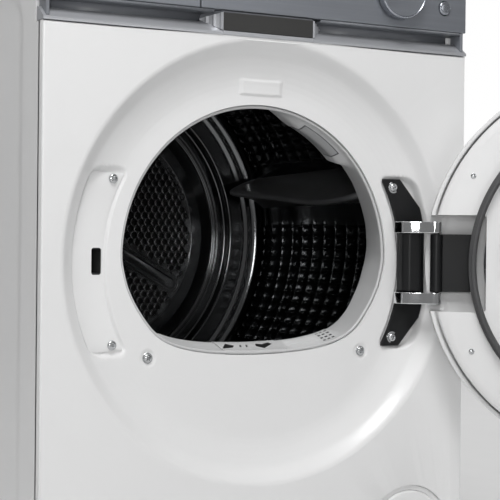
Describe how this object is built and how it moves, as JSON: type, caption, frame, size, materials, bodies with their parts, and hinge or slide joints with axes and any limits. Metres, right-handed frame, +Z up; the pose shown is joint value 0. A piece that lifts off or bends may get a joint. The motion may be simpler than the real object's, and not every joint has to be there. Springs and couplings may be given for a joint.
{
  "type": "clothes dryer",
  "caption": "Front-loading tumble dryer with a round porthole door, rotating drum, lift-out lint filter, condensate drawer, programme knob and heat-pump base.",
  "frame": {"origin": "centre of the base tray underside; the levelling feet reach 15 mm below it", "axes": "+X to the right seen from the front, +Y from the front towards the rear, +Z up"},
  "size_m": [0.958, 0.942, 0.845],
  "materials": {
    "white_paint": "satin",
    "galvanised_sheet": "matt",
    "white_moulding": "satin",
    "worktop_board": "satin white laminate",
    "tray_moulding": "matt",
    "grey_moulding": "satin",
    "pale_moulding": "satin",
    "foot_rubber": "matt",
    "steel_screw": "bright zinc",
    "fascia_finish": "fine brushed metallic",
    "dark_moulding": "semi-gloss",
    "trim_metal": "satin",
    "board": "lacquered",
    "button_cap": "satin",
    "lamp_lens": "frosted",
    "drum_metal": "dark polished",
    "lifter_moulding": "gloss",
    "bearing_steel": "machined",
    "roller_nylon": "matt",
    "motor_paint": "matt",
    "belt_rubber": "matt",
    "fin_aluminium": "plain",
    "window_glass": "dark tinted",
    "bowl_clear": "clear",
    "seal_rubber": "matt",
    "hinge_chrome": "polished",
    "hinge_black": "satin black"
  },
  "bodies": {
    "cabinet": {"left_side_panel": "white_paint", "right_side_panel": "white_paint", "rear_panel": "galvanised_sheet", "rear_duct_cover": "galvanised_sheet", "worktop": "worktop_board", "front_panel": "white_paint", "base_tray": "tray_moulding", "foot_front_left": "foot_rubber", "foot_front_right": "foot_rubber", "foot_rear_left": "foot_rubber", "foot_rear_right": "foot_rubber", "latch_plate": "white_moulding", "latch_screw_upper": "steel_screw", "latch_screw_lower": "steel_screw", "hinge_screw_upper": "steel_screw", "hinge_screw_lower": "steel_screw", "panel_screw_left": "steel_screw", "panel_screw_right": "steel_screw", "fascia": "fascia_finish", "grip_rail": "dark_moulding", "lower_trim": "trim_metal", "badge_blank": "dark_moulding", "control_board": "board", "drawer_housing": "grey_moulding", "front_tunnel": "grey_moulding", "lamp_cover": "lamp_lens", "rear_bearing": "bearing_steel", "motor": "motor_paint", "drive_belt": "belt_rubber", "compressor": "motor_paint", "evaporator": "fin_aluminium", "condenser": "fin_aluminium", "exchanger_housing": "grey_moulding", "hinge_bracket": "hinge_black", "hinge_arm_upper": "hinge_chrome", "hinge_arm_lower": "hinge_chrome", "door_lock": "dark_moulding"},
    "door": {"door_ring": "white_moulding", "door_window": "window_glass", "door_inner_frame": "white_moulding", "door_bowl": "bowl_clear", "door_seal": "seal_rubber", "latch_hook": "steel_screw", "hinge_leaf": "hinge_black"},
    "drum": {"drum_shell": "drum_metal", "drum_back": "drum_metal", "lifter_a": "lifter_moulding", "lifter_b": "lifter_moulding", "lifter_c": "lifter_moulding"},
    "roller_left": {"support_roller_left": "roller_nylon"},
    "roller_right": {"support_roller_right": "roller_nylon"},
    "motor_rotor": {"motor_pulley": "bearing_steel", "fan_wheel": "grey_moulding"},
    "water_drawer": {"drawer_front": "fascia_finish", "water_tank": "pale_moulding"},
    "filter": {"lint_filter": "pale_moulding"},
    "knob": {"programme_knob": "fascia_finish"},
    "start_key": {"start_button": "button_cap"},
    "option_key": {"option_button": "button_cap"},
    "service_lid": {"service_cover": "white_moulding"}
  },
  "joints": [
    {"name": "door_hinge", "type": "hinge", "parent": "cabinet", "child": "door", "pos_m": [0.238, -0.325, 0.43], "axis": [0, 0, 1], "range_deg": [-148, 0]},
    {"name": "drum_spin", "type": "hinge", "parent": "cabinet", "child": "drum", "pos_m": [0, 0.2, 0.463], "axis": [0, 1, 0], "continuous": true},
    {"name": "motor_spin", "type": "hinge", "parent": "cabinet", "child": "motor_rotor", "pos_m": [-0.17, 0, 0.095], "axis": [0, 1, 0], "continuous": true},
    {"name": "roller_left_spin", "type": "hinge", "parent": "cabinet", "child": "roller_left", "pos_m": [-0.17402, -0.185, 0.21447], "axis": [0, 1, 0], "continuous": true},
    {"name": "roller_right_spin", "type": "hinge", "parent": "cabinet", "child": "roller_right", "pos_m": [0.17402, -0.185, 0.21447], "axis": [0, 1, 0], "continuous": true},
    {"name": "knob_turn", "type": "hinge", "parent": "cabinet", "child": "knob", "pos_m": [0.19, -0.31, 0.779], "axis": [0, -1, 0], "continuous": true},
    {"name": "start_press", "type": "slide", "parent": "cabinet", "child": "start_key", "axis": [0, 1, 0], "range_m": [0, 0.002], "stiffness_N_per_m": 300, "springref_m": -0.0005},
    {"name": "option_press", "type": "slide", "parent": "cabinet", "child": "option_key", "axis": [0, 1, 0], "range_m": [0, 0.002], "stiffness_N_per_m": 300, "springref_m": -0.0005},
    {"name": "water_drawer_slide", "type": "slide", "parent": "cabinet", "child": "water_drawer", "axis": [0, -1, 0], "range_m": [0, 0.4]},
    {"name": "lint_filter_lift", "type": "slide", "parent": "cabinet", "child": "filter", "axis": [0, 0, 1], "range_m": [0, 0.14]},
    {"name": "service_cover_pull", "type": "slide", "parent": "cabinet", "child": "service_lid", "axis": [0, -1, 0], "range_m": [0, 0.06]}
  ],
  "couplings": [
    {"joint": "motor_spin", "follows": "drum_spin", "ratio": 28.5},
    {"joint": "roller_left_spin", "follows": "drum_spin", "ratio": -15.833},
    {"joint": "roller_right_spin", "follows": "drum_spin", "ratio": -15.833}
  ]
}
